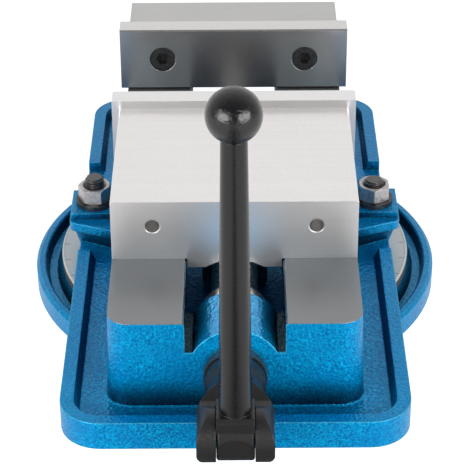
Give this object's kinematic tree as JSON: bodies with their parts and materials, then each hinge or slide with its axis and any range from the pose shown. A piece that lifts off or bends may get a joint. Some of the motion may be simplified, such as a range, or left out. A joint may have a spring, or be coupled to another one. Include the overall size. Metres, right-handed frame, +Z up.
{
  "type": "precision bench vise",
  "caption": "Precision milling vise: ground jaws on a cast bed with coolant rims, lead screw with a folding ball crank, clamped on a graduated swivel base.",
  "frame": {"origin": "swivel axis on the underside of the swivel base", "axes": "+X across the jaws, +Y from the crank towards the fixed jaw, +Z up"},
  "size_m": [0.26, 0.4355, 0.2653],
  "materials": {
    "blue_paint": "metallic hammertone paint over cast iron",
    "ground_steel": "surface ground",
    "hardened_steel": "hardened and ground",
    "black_oxide": "black oxide",
    "black_paint": "satin black",
    "black_plastic": "polished",
    "bronze": "turned",
    "nut_iron": "machined"
  },
  "bodies": {
    "base": {"swivel_base": "blue_paint"},
    "bed": {"vise_body": "blue_paint", "pivot_pin": "hardened_steel", "fixed_jaw": "ground_steel", "fixed_jaw_key_left": "ground_steel", "fixed_jaw_key_right": "ground_steel", "fixed_jaw_bolt_left": "black_oxide", "fixed_jaw_bolt_right": "black_oxide", "fixed_jaw_plate": "hardened_steel", "fixed_plate_screw_left": "black_oxide", "fixed_plate_screw_right": "black_oxide", "screw_bush": "bronze", "thrust_race_front": "hardened_steel", "t_bolt_left": "black_oxide", "t_bolt_right": "black_oxide", "clamp_washer_left": "black_oxide", "clamp_washer_right": "black_oxide"},
    "nut_left": {"clamp_nut_left": "black_oxide"},
    "nut_right": {"clamp_nut_right": "black_oxide"},
    "cage": {"thrust_cage": "bronze", "thrust_balls": "hardened_steel"},
    "screw": {"lead_screw": "ground_steel", "thrust_race_rear": "hardened_steel", "retaining_collar": "black_oxide", "collar_set_screw": "black_oxide", "crank_hub": "black_paint", "fold_pin": "ground_steel"},
    "lever": {"crank_lever": "black_paint", "ball_knob": "black_plastic"},
    "jaw": {"movable_jaw": "ground_steel", "movable_jaw_plate": "hardened_steel", "movable_plate_screw_left": "black_oxide", "movable_plate_screw_right": "black_oxide", "screw_nut": "nut_iron", "half_ball": "hardened_steel", "jaw_adjust_screw": "black_oxide", "hold_down_plate_left": "ground_steel", "hold_down_plate_right": "ground_steel", "hold_down_screws_left": "black_oxide", "hold_down_screws_right": "black_oxide"}
  },
  "joints": [
    {"name": "swivel", "type": "hinge", "parent": "base", "child": "bed", "pos_m": [0, 0, 0], "axis": [0, 0, 1], "continuous": true},
    {"name": "screw_turn", "type": "hinge", "parent": "bed", "child": "screw", "pos_m": [0, 0, 0.057], "axis": [0, 1, 0], "range_deg": [-4500, 6240]},
    {"name": "jaw_slide", "type": "slide", "parent": "bed", "child": "jaw", "axis": [0, 1, 0], "range_m": [-0.063, 0.0869]},
    {"name": "cage_turn", "type": "hinge", "parent": "bed", "child": "cage", "pos_m": [0, 0, 0.057], "axis": [0, 1, 0], "range_deg": [-2260, 3130]},
    {"name": "handle_fold", "type": "hinge", "parent": "screw", "child": "lever", "pos_m": [0, -0.2505, 0.057], "axis": [1, 0, 0], "range_deg": [0, 180]},
    {"name": "nut_left_turn", "type": "hinge", "parent": "bed", "child": "nut_left", "pos_m": [-0.09, 0, 0.056], "axis": [0, 0, 1], "range_deg": [0, 180]},
    {"name": "nut_right_turn", "type": "hinge", "parent": "bed", "child": "nut_right", "pos_m": [0.09, 0, 0.056], "axis": [0, 0, 1], "range_deg": [0, 180]}
  ],
  "couplings": [
    {"joint": "jaw_slide", "follows": "screw_turn", "m_per_rad": 0.00079577},
    {"joint": "cage_turn", "follows": "screw_turn", "ratio": 0.5}
  ]
}
